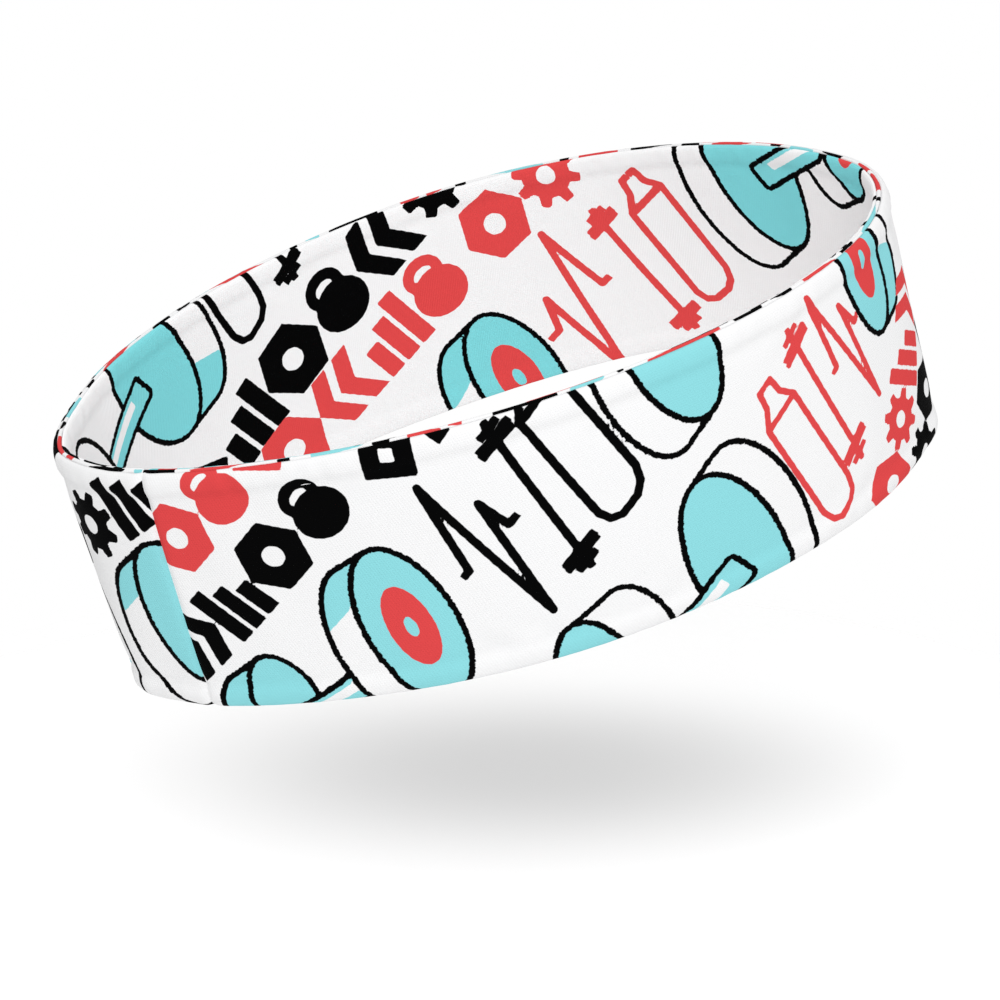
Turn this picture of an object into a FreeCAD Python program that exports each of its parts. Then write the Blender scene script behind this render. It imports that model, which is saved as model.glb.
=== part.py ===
"""Two-layer stretch headband: a sewn fabric tube that stands open on its lower edge.

Units are millimetres and +Z is up, along the axis of the loop. The long way of the loop
runs along X and its front faces -Y. The origin is the middle of the footprint.

The wall is drawn from one reference surface, ruled between a lower and an upper oval.
A swell is a distance outwards from that surface, and a negative swell lies inside it.
"""
import FreeCAD
import Part
import math
import os

# Driving dimensions of the loop
BAND_HEIGHT = 66.0
LOOP_CENTRE_Y = -6.75

# Each oval: half length, half depth, how far its middle shifts to the rear, how much its
# right side is fuller, and how far its quarters draw in, on average and more to the rear.
LOWER_OVAL = (110.5, 67.3, 6.2, 0.051, -0.016, -0.055)
UPPER_OVAL = (105.0, 66.6, 8.0, 0.060, 0.020, -0.007)
LOOP_POINTS = 72

# Fabric and the soft roll at each edge
FABRIC = 0.65
LAYER_GAP = 0.1
EDGE_STRIP_WIDTH = 1.8
EDGE_STRIP_BASE_SPREAD = 0.7
ROLL_TOP = 0.8
ROLL_MIDDLE = 2.6
ROLL_END = 6.5
OUTER_SWELLS = (0.8, 1.5, 0.9)
LINING_SWELLS = (0.7, 0.8, 0.3)

# Margins turned in at the two edges
EDGE_MARGIN_THICKNESS = 1.1
EDGE_MARGIN_START = 1.3
EDGE_MARGIN_END = 6.3
OUTER_MARGIN_SWELL = 0.15
LINING_MARGIN_SWELL = -1.25

# Back seam of each layer: its place round the loop and its two opened margins
BACK_SEAM_ANGLE = math.radians(-145.0)
BACK_MARGIN_WIDTH = 6.0
BACK_MARGIN_THICKNESS = 0.5
BACK_MARGIN_HALF_GAP = 0.3
BACK_MARGIN_EDGE_CLEARANCE = 7.0
BACK_MARGIN_POINTS = 9
OUTER_BACK_MARGIN_SWELL = -0.1
LINING_BACK_MARGIN_SWELL = -1.15

# Sewing thread
THREAD_RADIUS = 0.15
STITCH_LENGTH = 2.2
STITCH_PITCH = 3.0
EDGE_THREAD_DEPTH = 1.0


def oval_point(oval, angle):
    """Point of an oval at an angle round the loop, before any swell."""
    half_length, half_depth, rear_shift, fullness, pull, rear_pull = oval
    across = math.sin(angle)
    along = math.cos(angle)
    draw = 1 + (pull + rear_pull * across) * (math.cos(4 * angle) - 1) / 2
    depth = half_depth * across * (1 + fullness * along) + rear_shift * across ** 2
    return half_length * along * draw, depth * draw + LOOP_CENTRE_Y


def reference_point(angle, height):
    """Point of the reference wall at an angle and a height."""
    share = height / BAND_HEIGHT
    lower_x, lower_y = oval_point(LOWER_OVAL, angle)
    upper_x, upper_y = oval_point(UPPER_OVAL, angle)
    return lower_x + (upper_x - lower_x) * share, lower_y + (upper_y - lower_y) * share


def wall_point(angle, height, swell):
    """Point at a swell outwards from the reference wall."""
    step = 0.001
    x, y = reference_point(angle, height)
    before_x, before_y = reference_point(angle - step, height)
    after_x, after_y = reference_point(angle + step, height)
    along_x = after_x - before_x
    along_y = after_y - before_y
    length = math.hypot(along_x, along_y)
    out_x = along_y / length
    out_y = -along_x / length
    return FreeCAD.Vector(x + swell * out_x, y + swell * out_y, height)


def loop_wire(height, swell):
    """Closed smooth wire round the loop."""
    angles = [2 * math.pi * i / LOOP_POINTS for i in range(LOOP_POINTS)]
    curve = Part.BSplineCurve()
    curve.interpolate(Points=[wall_point(a, height, swell) for a in angles], PeriodicFlag=True)
    return Part.Wire([curve.toShape()])


def loop_solid(section):
    """Solid bounded by the wires of a section, a list of (height, swell)."""
    wires = [loop_wire(height, swell) for height, swell in section]
    return Part.makeLoft(wires, True, True)


def ring(outer_section, inner_section):
    """Closed ring of fabric between two sections of the same heights."""
    return loop_solid(outer_section).cut(loop_solid(inner_section))


def from_both_edges(distances, swells):
    """Section that is the same at the lower and the upper edge."""
    lower = list(zip(distances, swells))
    upper = [(BAND_HEIGHT - distance, swell) for distance, swell in reversed(lower)]
    return lower + upper


def thicker(section, thickness):
    """The same section, moved inwards by a thickness."""
    return [(height, swell - thickness) for height, swell in section]


def make_outer_panel():
    section = from_both_edges((ROLL_TOP, ROLL_MIDDLE, ROLL_END), OUTER_SWELLS)
    return ring(section, thicker(section, FABRIC))


def make_lining_panel():
    swells = [FABRIC - EDGE_STRIP_WIDTH - swell for swell in LINING_SWELLS]
    section = from_both_edges((ROLL_TOP, ROLL_MIDDLE, ROLL_END), swells)
    return ring(section, thicker(section, FABRIC))


def make_edge_strip(edge_height, inside_height):
    """Narrow strip that caps an edge, wider where it meets the two panels."""
    outer = sorted([(edge_height, 0.0), (inside_height, EDGE_STRIP_BASE_SPREAD)])
    inner = sorted([(edge_height, -EDGE_STRIP_WIDTH),
                    (inside_height, -EDGE_STRIP_WIDTH - EDGE_STRIP_BASE_SPREAD)])
    return ring(outer, inner)


def make_edge_margin(start_height, end_height, middle_swell):
    """Turned-in margins along an edge, a flat band between the two panels."""
    half = EDGE_MARGIN_THICKNESS / 2
    heights = sorted([start_height, end_height])
    outer = [(height, middle_swell + half) for height in heights]
    return ring(outer, thicker(outer, EDGE_MARGIN_THICKNESS))


def angle_at(distance):
    """Angle round the loop at a signed distance from the back seam."""
    step = math.radians(0.1) * (1 if distance > 0 else -1)
    angle = BACK_SEAM_ANGLE
    travelled = 0.0
    while travelled < abs(distance):
        here = wall_point(angle, BAND_HEIGHT / 2, 0)
        travelled += here.distanceToPoint(wall_point(angle + step, BAND_HEIGHT / 2, 0))
        angle += step
    return angle


def flap_wire(height, angles, outer_swell):
    """Closed wire round one margin of the back seam."""
    inner_swell = outer_swell - BACK_MARGIN_THICKNESS
    outside = [wall_point(a, height, outer_swell) for a in angles]
    inside = [wall_point(a, height, inner_swell) for a in angles]
    outer_curve = Part.BSplineCurve()
    outer_curve.interpolate(outside)
    inner_curve = Part.BSplineCurve()
    inner_curve.interpolate(inside)
    return Part.Wire([
        outer_curve.toShape(),
        Part.LineSegment(outside[-1], inside[-1]).toShape(),
        inner_curve.toShape(),
        Part.LineSegment(inside[0], outside[0]).toShape(),
    ])


def make_back_margins(middle_swell):
    """Two margins of a back seam, opened flat, one each side of the seam."""
    outer_swell = middle_swell + BACK_MARGIN_THICKNESS / 2
    heights = (BACK_MARGIN_EDGE_CLEARANCE, BAND_HEIGHT - BACK_MARGIN_EDGE_CLEARANCE)
    flaps = []
    for side in (-1, 1):
        first = angle_at(side * BACK_MARGIN_HALF_GAP)
        last = angle_at(side * BACK_MARGIN_WIDTH)
        steps = [i / (BACK_MARGIN_POINTS - 1) for i in range(BACK_MARGIN_POINTS)]
        angles = [first + (last - first) * step for step in steps]
        wires = [flap_wire(height, angles, outer_swell) for height in heights]
        flaps.append(Part.makeLoft(wires, True, True))
    return Part.makeCompound(flaps)


def stitch(start, end):
    """One straight stitch of thread, centred between two points."""
    way = (end - start).normalize()
    middle = (start + end) * 0.5
    return Part.makeCylinder(THREAD_RADIUS, STITCH_LENGTH, middle - way * (STITCH_LENGTH / 2), way)


def make_edge_thread(height, swell):
    """Row of stitches all round the loop at one height, evenly spaced."""
    count = 720
    fine = [wall_point(2 * math.pi * i / count, height, swell) for i in range(count + 1)]
    travelled = [0.0]
    for here, there in zip(fine, fine[1:]):
        travelled.append(travelled[-1] + here.distanceToPoint(there))
    stitches = int(travelled[-1] / STITCH_PITCH)
    starts = []
    index = 0
    for i in range(stitches):
        target = travelled[-1] * i / stitches
        while travelled[index + 1] <= target:
            index += 1
        share = (target - travelled[index]) / (travelled[index + 1] - travelled[index])
        starts.append(fine[index] + (fine[index + 1] - fine[index]) * share)
    ends = starts[1:] + starts[:1]
    return Part.makeCompound([stitch(start, end) for start, end in zip(starts, ends)])


def make_back_thread(swell):
    """Upright row of stitches in the gap between the two margins of a back seam."""
    lowest = BACK_MARGIN_EDGE_CLEARANCE
    span = BAND_HEIGHT - 2 * BACK_MARGIN_EDGE_CLEARANCE
    stitches = int(span / STITCH_PITCH)
    heights = [lowest + span * i / stitches for i in range(stitches + 1)]
    points = [wall_point(BACK_SEAM_ANGLE, height, swell) for height in heights]
    return Part.makeCompound([stitch(start, end) for start, end in zip(points, points[1:])])


def all_nodes():
    """Every sub-part by its node name."""
    top = BAND_HEIGHT
    strip_inside = ROLL_TOP - LAYER_GAP
    return {
        "outer_panel": make_outer_panel(),
        "lining_panel": make_lining_panel(),
        "top_edge_strip": make_edge_strip(top, top - strip_inside),
        "bottom_edge_strip": make_edge_strip(0.0, strip_inside),
        "top_outer_margin": make_edge_margin(
            top - EDGE_MARGIN_START, top - EDGE_MARGIN_END, OUTER_MARGIN_SWELL),
        "top_lining_margin": make_edge_margin(
            top - EDGE_MARGIN_START, top - EDGE_MARGIN_END, LINING_MARGIN_SWELL),
        "bottom_outer_margin": make_edge_margin(
            EDGE_MARGIN_START, EDGE_MARGIN_END, OUTER_MARGIN_SWELL),
        "bottom_lining_margin": make_edge_margin(
            EDGE_MARGIN_START, EDGE_MARGIN_END, LINING_MARGIN_SWELL),
        "outer_back_seam_margins": make_back_margins(OUTER_BACK_MARGIN_SWELL),
        "lining_back_seam_margins": make_back_margins(LINING_BACK_MARGIN_SWELL),
        "top_outer_thread": make_edge_thread(top - EDGE_THREAD_DEPTH, OUTER_MARGIN_SWELL),
        "top_lining_thread": make_edge_thread(top - EDGE_THREAD_DEPTH, LINING_MARGIN_SWELL),
        "bottom_outer_thread": make_edge_thread(EDGE_THREAD_DEPTH, OUTER_MARGIN_SWELL),
        "bottom_lining_thread": make_edge_thread(EDGE_THREAD_DEPTH, LINING_MARGIN_SWELL),
        "outer_back_seam_thread": make_back_thread(OUTER_BACK_MARGIN_SWELL),
        "lining_back_seam_thread": make_back_thread(LINING_BACK_MARGIN_SWELL),
    }


def main():
    os.makedirs("parts", exist_ok=True)
    for node, shape in all_nodes().items():
        shape.exportStep(f"parts/{node}.step")
        box = shape.BoundBox
        print(f"{node}: {len(shape.Solids)} solids, valid {shape.isValid()}, "
              f"volume {shape.Volume:.0f} mm3, x {box.XMin:.2f}..{box.XMax:.2f}, "
              f"y {box.YMin:.2f}..{box.YMax:.2f}, z {box.ZMin:.2f}..{box.ZMax:.2f}")


main()
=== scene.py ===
"""Two-layer stretch headband, dressed for the render: printed knit, edge strips and stage.

Every cloth is drawn from the loop's reference wall, which is ruled between a lower and an
upper oval. A swell is a distance outwards from that wall. Design lengths are millimetres
and become metres when a mesh is made. A place on the cloth is (u, v): u runs round the
loop from the middle of the front, positive to the right, and v is the height.
"""
import math

import bpy
import numpy as np
from mathutils import Matrix, Vector


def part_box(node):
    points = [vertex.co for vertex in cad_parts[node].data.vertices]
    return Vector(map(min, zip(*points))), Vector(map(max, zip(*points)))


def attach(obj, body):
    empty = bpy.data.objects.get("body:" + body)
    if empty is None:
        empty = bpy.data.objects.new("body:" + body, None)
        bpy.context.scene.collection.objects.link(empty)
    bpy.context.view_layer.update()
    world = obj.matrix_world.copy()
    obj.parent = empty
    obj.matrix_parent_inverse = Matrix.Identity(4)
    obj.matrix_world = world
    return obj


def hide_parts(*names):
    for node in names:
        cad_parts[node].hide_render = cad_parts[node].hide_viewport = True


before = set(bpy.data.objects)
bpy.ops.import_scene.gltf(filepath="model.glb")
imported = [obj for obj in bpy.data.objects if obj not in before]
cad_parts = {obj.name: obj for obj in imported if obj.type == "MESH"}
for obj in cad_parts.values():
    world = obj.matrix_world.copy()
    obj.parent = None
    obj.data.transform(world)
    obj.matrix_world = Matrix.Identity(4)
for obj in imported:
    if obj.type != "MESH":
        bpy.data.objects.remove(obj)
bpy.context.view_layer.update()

MM = 0.001


# ------------------------------ the reference wall

STRIP_SPREAD = 0.7
STRIP_WIDTH = 1.8
LOOP_CENTRE_Y = -6.75
BACK_SEAM_ANGLE = math.radians(-145.0)
LOOP_SAMPLES = 7201
ANGLE_STEP = 0.001

# How much an oval is fuller on the right, and how far its quarters draw in
LOWER_SHAPE = (0.051, -0.016, -0.055)
UPPER_SHAPE = (0.060, 0.020, -0.007)


def millimetre_box(node):
    """Lowest and highest corner of a CAD node, in millimetres."""
    low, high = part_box(node)
    return [c / MM for c in low], [c / MM for c in high]


def oval_from_strip(node, shape):
    """Oval of an edge: half length, half depth, rear shift, and the shape values."""
    low, high = millimetre_box(node)
    half_length = (high[0] - low[0]) / 2 - STRIP_SPREAD
    half_depth = (high[1] - low[1]) / 2 - STRIP_SPREAD
    rear_shift = (high[1] + low[1]) / 2 - LOOP_CENTRE_Y
    return (half_length, half_depth, rear_shift) + shape


BAND_HEIGHT = millimetre_box("top_edge_strip")[1][2]
LOWER_OVAL = oval_from_strip("bottom_edge_strip", LOWER_SHAPE)
UPPER_OVAL = oval_from_strip("top_edge_strip", UPPER_SHAPE)


def oval_point(oval, angle):
    """Point of an edge's oval at an angle."""
    half_length, half_depth, rear_shift, fullness, pull, rear_pull = oval
    across = np.sin(angle)
    along = np.cos(angle)
    draw = 1 + (pull + rear_pull * across) * (np.cos(4 * angle) - 1) / 2
    x = half_length * along * draw
    y = (half_depth * across * (1 + fullness * along) + rear_shift * across ** 2) * draw
    return x, y + LOOP_CENTRE_Y


def reference_point(angle, height):
    """Points of the reference wall at angles and heights."""
    share = height / BAND_HEIGHT
    lower_x, lower_y = oval_point(LOWER_OVAL, angle)
    upper_x, upper_y = oval_point(UPPER_OVAL, angle)
    return lower_x + (upper_x - lower_x) * share, lower_y + (upper_y - lower_y) * share


# Where the soft loop has settled off the ovals: an angle and a reach in degrees, and the
# distance outwards at the lower and at the upper edge
SETTLED = ((-177, 17, -1.6, 0.0), (167, 13, 0.0, -1.9), (-26, 14, -1.6, -0.2), (-9, 8, -1.5, 0.0),
           (3, 11, 0.0, 0.9), (128, 12, 0.0, 0.5), (-162, 7, 1.5, 0.0), (-171, 5, -0.3, 0.5),
           (-17, 5, 1.0, 0.0))
# The crease above the lower roll at the left end
CREASE_ANGLE = -176
CREASE_REACH = 9
CREASE_HEIGHT = 6.0
CREASE_SPREAD = 3.0
CREASE_DEPTH = 1.6


def smooth_bump(distance, reach):
    """1 at distance 0, falling smoothly to 0."""
    return np.exp(-(distance / reach) ** 2)


def turn_from(angle, centre):
    """Degrees from a centre, given in degrees, to an angle in radians, the short way round."""
    return np.degrees(np.angle(np.exp(1j * (angle - math.radians(centre)))))


def settled(angle, height):
    """How far outwards the soft loop has settled from the reference wall."""
    share = height / BAND_HEIGHT
    away = np.zeros(np.broadcast(angle, height).shape)
    for centre, reach, lower, upper in SETTLED:
        away = away + smooth_bump(turn_from(angle, centre), reach) * (lower + (upper - lower) * share)
    crease = smooth_bump(turn_from(angle, CREASE_ANGLE), CREASE_REACH)
    return away - CREASE_DEPTH * crease * smooth_bump(height - CREASE_HEIGHT, CREASE_SPREAD)


def wall_points(angle, height, swell):
    """Points at a swell outwards from the settled wall."""
    swell = swell + settled(angle, height)
    x, y = reference_point(angle, height)
    before_x, before_y = reference_point(angle - ANGLE_STEP, height)
    after_x, after_y = reference_point(angle + ANGLE_STEP, height)
    along_x = after_x - before_x
    along_y = after_y - before_y
    length = np.hypot(along_x, along_y)
    outer_x = x + swell * along_y / length
    outer_y = y - swell * along_x / length
    return np.stack(np.broadcast_arrays(outer_x, outer_y, height), axis=-1)


class Loop:
    """Length round the loop at mid-height, against the angle. u = 0 is the front middle."""

    def __init__(self):
        self.angles = np.linspace(-math.pi, math.pi, LOOP_SAMPLES)
        x, y = reference_point(self.angles, BAND_HEIGHT / 2)
        steps = np.hypot(np.diff(x), np.diff(y))
        travelled = np.concatenate([[0.0], np.cumsum(steps)])
        self.length = travelled[-1]
        front = np.interp(-math.pi / 2, self.angles, travelled)
        self.travelled = travelled - front

    def angle_at(self, u):
        turns = np.floor((u - self.travelled[0]) / self.length)
        return np.interp(u - turns * self.length, self.travelled, self.angles)

    def u_at(self, angle):
        return float(np.interp(angle, self.angles, self.travelled))


LOOP = Loop()
SEAM_U = LOOP.u_at(BACK_SEAM_ANGLE)


# ------------------------------ cloth sections and meshes

PANEL_STEP = 0.65
STRIP_STEP = 0.5
MARGIN_STEP = 1.2
CURVE_SAMPLES = 24


def smooth_section(points, step):
    """Even samples, as (swell, height, run), along a smooth curve through (swell, height) points.

    The run is the length along the section, equal to the height at mid-height.
    """
    corners = np.array(points, dtype=float)
    chords = np.hypot(*np.diff(corners, axis=0).T)
    knots = np.concatenate([[0.0], np.cumsum(np.sqrt(chords))])
    tangents = np.gradient(corners, knots, axis=0)
    fine = []
    for i in range(len(corners) - 1):
        span = knots[i + 1] - knots[i]
        s = np.linspace(0, 1, CURVE_SAMPLES, endpoint=False)[:, None]
        fine.append((2 * s ** 3 - 3 * s ** 2 + 1) * corners[i]
                    + (s ** 3 - 2 * s ** 2 + s) * span * tangents[i]
                    + (3 * s ** 2 - 2 * s ** 3) * corners[i + 1]
                    + (s ** 3 - s ** 2) * span * tangents[i + 1])
    fine = np.concatenate(fine + [corners[-1:]])
    travelled = np.concatenate([[0.0], np.cumsum(np.hypot(*np.diff(fine, axis=0).T))])
    count = int(math.ceil(travelled[-1] / step)) + 1
    run = np.linspace(0, travelled[-1], count)
    swell = np.interp(run, travelled, fine[:, 0])
    height = np.interp(run, travelled, fine[:, 1])
    if height[0] < BAND_HEIGHT / 2 < height[-1]:
        run = run - np.interp(BAND_HEIGHT / 2, height, run) + BAND_HEIGHT / 2
    return swell, height, run


def cloth_mesh(name, points, cloth_u, cloth_v, closed):
    """Mesh of quads through a grid of points, with its flat coordinates as a UV map."""
    rows, columns = points.shape[:2]
    index = np.arange(rows * columns).reshape(rows, columns)
    u_grid, v_grid = np.broadcast_arrays(cloth_u[:, None], cloth_v[None, :])
    after = np.roll(index, -1, axis=0) if closed else index[1:]
    here = index if closed else index[:-1]
    quads = np.stack([here[:, :-1], after[:, :-1], after[:, 1:], here[:, 1:]], axis=-1)
    quads = quads.reshape(-1, 4)
    mesh = bpy.data.meshes.new(name)
    mesh.vertices.add(rows * columns)
    mesh.vertices.foreach_set("co", (points * MM).astype(np.float32).ravel())
    mesh.loops.add(quads.size)
    mesh.loops.foreach_set("vertex_index", quads.ravel().astype(np.int32))
    mesh.polygons.add(len(quads))
    mesh.polygons.foreach_set("loop_start", (np.arange(len(quads)) * 4).astype(np.int32))
    mesh.update(calc_edges=True)
    flat_u = u_grid.ravel()[quads]
    across_join = flat_u < flat_u.max(axis=1, keepdims=True) - LOOP.length / 2
    flat_u = np.where(across_join, flat_u + LOOP.length, flat_u)
    flat = np.stack([flat_u, v_grid.ravel()[quads]], axis=-1)
    layer = mesh.uv_layers.new(name="cloth_mm")
    layer.data.foreach_set("uv", flat.astype(np.float32).ravel())
    mesh.polygons.foreach_set("use_smooth", np.ones(len(quads), dtype=bool))
    mesh.update()
    piece = bpy.data.objects.new(name, mesh)
    bpy.context.scene.collection.objects.link(piece)
    return piece


def mirrored(lower):
    """A section with the same shape at both edges, drawn from its lower half."""
    upper = [(swell, BAND_HEIGHT - height) for swell, height in reversed(lower)]
    return lower + [(lower[-1][0], BAND_HEIGHT / 2)] + upper


# Section of each panel, as (swell, height) from its lower turned-in edge up to the middle part
OUTER_SECTION = mirrored([(-0.62, 1.9), (-0.56, 0.9), (-0.34, 0.2), (0.1, 0.12), (0.6, 0.5), (1.0, 1.3),
                          (1.3, 2.6), (1.35, 4.3), (0.8, 6.6), (0.9, 9.5), (1.1, 15.0)])
LINING_SECTION = mirrored([(-1.18, 1.9), (-1.24, 0.9), (-1.46, 0.2), (-1.9, 0.12), (-2.3, 0.5),
                           (-2.6, 1.3), (-2.75, 2.6), (-2.7, 4.3), (-2.05, 6.6), (-2.1, 9.5),
                           (-2.2, 15.0)])
STRIP_LEG = 5.0
STRIP_MIDDLE = -STRIP_WIDTH / 2


def strip_section(edge, inwards):
    """Section of an edge strip: up one leg, over the edge and down the other leg."""
    leg = edge + inwards * STRIP_LEG
    return [(-0.82, leg), (-0.78, edge + inwards * 2.0), (-0.62, edge + inwards * 0.9),
            (-0.36, edge + inwards * 0.28), (-0.44, edge - inwards * 0.02),
            (-0.66, edge - inwards * 0.14), (STRIP_MIDDLE, edge - inwards * 0.18),
            (-1.14, edge - inwards * 0.14), (-1.36, edge - inwards * 0.02),
            (-1.44, edge + inwards * 0.28), (-1.18, edge + inwards * 0.9),
            (-1.02, edge + inwards * 2.0), (-0.98, leg)]


def scattered_waves(seed, u, v, turns, rises, count):
    """Sum of waves with random directions and starts, about 1 high. It is the same each run.

    turns are the fewest and most waves round the loop, rises the steepest lean per millimetre.
    """
    random = np.random.default_rng(seed)
    total = 0 * u * v
    for _ in range(count):
        around = random.integers(*turns)
        lean = random.uniform(-rises, rises)
        start = random.uniform(0, 2 * math.pi)
        total = total + np.sin(around * 2 * math.pi * u / LOOP.length + lean * v + start)
    return total / math.sqrt(count / 2)


# How high each kind of unevenness is
SLOW_WAVE = 0.20
MEDIUM_WAVE = 0.07
DRAG_LINE = 0.15
PUCKER = 0.06
SEAM_PUFF = 0.12
SEAM_DIP = 0.5


def soft_waves(u, v):
    """Slow unevenness of the stretched cloth, in millimetres outwards."""
    slow = SLOW_WAVE * scattered_waves(3, u, v, (4, 10), 0.05, 5)
    medium = MEDIUM_WAVE * scattered_waves(4, u, v, (14, 34), 0.12, 8)
    return slow + medium


def edge_ripple(u, v):
    """Drag lines and small puckers beside the two edges, in millimetres outwards."""
    ripple = 0.0
    for seed, from_edge in ((11, v), (12, BAND_HEIGHT - v)):
        patchy = 0.55 + 0.45 * np.sin(scattered_waves(seed, u, 0 * v, (5, 14), 0.1, 4) * 1.5)
        drag = scattered_waves(seed + 10, u, v, (16, 46), 0.55, 10) * smooth_bump(from_edge - 8.5, 5.5)
        pucker = scattered_waves(seed + 20, u, v, (50, 130), 0.3, 8) * smooth_bump(from_edge - 3.0, 3.2)
        ripple = ripple + patchy * DRAG_LINE * drag + PUCKER * pucker
    return ripple


def seam_valley(u, v):
    """Dip of a cloth at its back seam, where its two ends turn inwards."""
    distance = np.minimum(u - SEAM_U, SEAM_U + LOOP.length - u)
    uneven = 1 + 0.25 * np.sin(v * 2.1 + 0.6 * np.sin(v * 0.7))
    puff = SEAM_PUFF * smooth_bump(distance - 3.0, 2.2) * uneven
    return puff - SEAM_DIP * smooth_bump(distance, 0.75)


def panel_columns():
    """u of each column of a panel, from its back seam round to the seam again."""
    count = int(round(LOOP.length / PANEL_STEP))
    even = np.linspace(0, LOOP.length, count)[1:-1]
    ends = np.array([0.0, 0.2, 0.42])
    return SEAM_U + np.concatenate([ends, even, LOOP.length - ends[::-1]])


def panel(name, section, outwards):
    """A printed panel: a tube from its back seam round to the seam again."""
    swell, height, run = smooth_section(section, PANEL_STEP)
    u = panel_columns()
    u_grid, v_grid = np.meshgrid(u, height, indexing="ij")
    held_at_edges = np.sin(math.pi * np.clip(v_grid / BAND_HEIGHT, 0, 1)) ** 0.5
    lift = soft_waves(u_grid, v_grid) * held_at_edges
    lift = (lift + edge_ripple(u_grid, v_grid) + seam_valley(u_grid, v_grid)) * outwards
    points = wall_points(LOOP.angle_at(u)[:, None], v_grid, swell[None, :] + lift)
    return cloth_mesh(name, points, u, run, closed=False), u, run


def ring_cloth(name, section, step):
    """A closed ring of cloth with the given section."""
    swell, height, run = smooth_section(section, step)
    count = int(round(LOOP.length / step))
    u = SEAM_U + np.linspace(0, LOOP.length, count, endpoint=False)
    points = wall_points(LOOP.angle_at(u)[:, None], height[None, :], swell[None, :])
    return cloth_mesh(name, points, u, run, closed=True), u, run


# ------------------------------ printing

INKS = ("turquoise", "red", "black")
OUTLINE = 1.5
PEN_REACH = 0.9
SLENDER_FINE = 1.6
SLENDER_BLACK = 2.1
SLENDER_RED = 2.2
ROW_GAP = 0.04
# Room round a shape where its ink is worked out too
PRINT_ROOM = 3.0
HAND_WOBBLE = 0.09
# Distances are stored up to KEPT, and FAR is beyond any of them
KEPT = 3.0
FAR = 1000.0


class Print:
    """Signed distances to each ink on a cloth, in millimetres, negative inside the ink."""

    def __init__(self, u, v):
        self.u = u
        self.v = v
        self.ink = {name: np.full((len(u), len(v)), FAR) for name in INKS}
        self.drawn = np.zeros((len(u), len(v)))

    def lay(self, colour, shape, middle, reach, drawn=0.0):
        """Print a shape in a colour, or in the white of the cloth, over what is there.

        drawn is 1 where a shaky pen drew its edge, and 0 where the edge is clean.
        """
        first, last = np.searchsorted(self.u, [middle[0] - reach, middle[0] + reach])
        if first >= last:
            return
        near_u = self.u[first:last, None] - middle[0]
        x, y = np.broadcast_arrays(near_u, self.v[None, :] - middle[1])
        distance = shape(x, y) + hand_wobble(x + middle[0], y + middle[1])
        for name in INKS:
            ink = self.ink[name]
            if name == colour:
                ink[first:last] = np.minimum(ink[first:last], distance)
            else:
                ink[first:last] = np.maximum(ink[first:last], -distance)
        near = distance < PEN_REACH
        self.drawn[first:last][near] = drawn

    def store(self, piece):
        """Write the distances to the piece as point attributes."""
        for name, values in self.ink.items():
            attribute = piece.data.attributes.new("ink_" + name, "FLOAT", "POINT")
            kept = np.clip(values, -KEPT, KEPT)
            attribute.data.foreach_set("value", kept.astype(np.float32).ravel())
        attribute = piece.data.attributes.new("drawn", "FLOAT", "POINT")
        attribute.data.foreach_set("value", self.drawn.astype(np.float32).ravel())


def hand_wobble(u, v):
    """Slight unsteadiness of a drawn line, in millimetres."""
    return HAND_WOBBLE * np.sin(1.9 * u + 1.3 * v) * np.sin(1.1 * u - 1.7 * v + 0.8)


def turned(x, y, degrees):
    """Coordinates in a frame turned by an angle."""
    c = math.cos(math.radians(degrees))
    s = math.sin(math.radians(degrees))
    return c * x + s * y, -s * x + c * y


def ellipse(x, y, across, tall):
    """Distance to an ellipse, good near its line."""
    outer = np.hypot(x / across, y / tall) + 1e-9
    slope = np.hypot(x / across ** 2, y / tall ** 2) + 1e-9
    return outer * (outer - 1) / slope


def segment_distance(x, y, start, end):
    """Distance to the straight line between two points."""
    from_x = x - start[0]
    from_y = y - start[1]
    dx = end[0] - start[0]
    dy = end[1] - start[1]
    share = np.clip((from_x * dx + from_y * dy) / (dx * dx + dy * dy), 0, 1)
    return np.hypot(from_x - share * dx, from_y - share * dy)


def stroke(x, y, points, width):
    """Distance to a line of a width with round ends and corners."""
    best = np.full(np.shape(x), FAR)
    for start, end in zip(points, points[1:]):
        best = np.minimum(best, segment_distance(x, y, start, end))
    return best - width / 2


def polygon(x, y, corners):
    """Distance to a polygon, negative inside."""
    best = np.full(np.shape(x), FAR)
    inside = np.zeros(np.shape(x), dtype=bool)
    for start, end in zip(corners, corners[1:] + corners[:1]):
        best = np.minimum(best, segment_distance(x, y, start, end))
        crosses = (start[1] > y) != (end[1] > y)
        rise = end[1] - start[1] or 1e-9
        inside ^= crosses & (x < (end[0] - start[0]) * (y - start[1]) / rise + start[0])
    return np.where(inside, -best, best)


def box(x, y, half_width, half_height):
    """Distance to a rectangle."""
    far_x = np.abs(x) - half_width
    far_y = np.abs(y) - half_height
    outside = np.hypot(np.maximum(far_x, 0), np.maximum(far_y, 0))
    return outside + np.minimum(np.maximum(far_x, far_y), 0)


# Bold generic marks, each on (x, y) with its height 1 and its middle at 0

def nut(x, y):
    """Six-sided nut with a round hole."""
    turns = [math.radians(degrees) for degrees in range(0, 360, 60)]
    corners = [(0.58 * math.cos(turn), 0.58 * math.sin(turn)) for turn in turns]
    return np.maximum(polygon(x, y, corners), -ellipse(x, y, 0.17, 0.17))


def chevrons(x, y):
    """Two heavy chevrons, one after the other."""
    best = np.full(np.shape(x), FAR)
    for shift in (-0.3, 0.16):
        corners = [(shift - 0.2, 0.5), (shift + 0.1, 0.5), (shift + 0.38, 0), (shift + 0.1, -0.5),
                   (shift - 0.2, -0.5), (shift + 0.07, 0)]
        best = np.minimum(best, polygon(x, y, corners))
    return best


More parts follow.
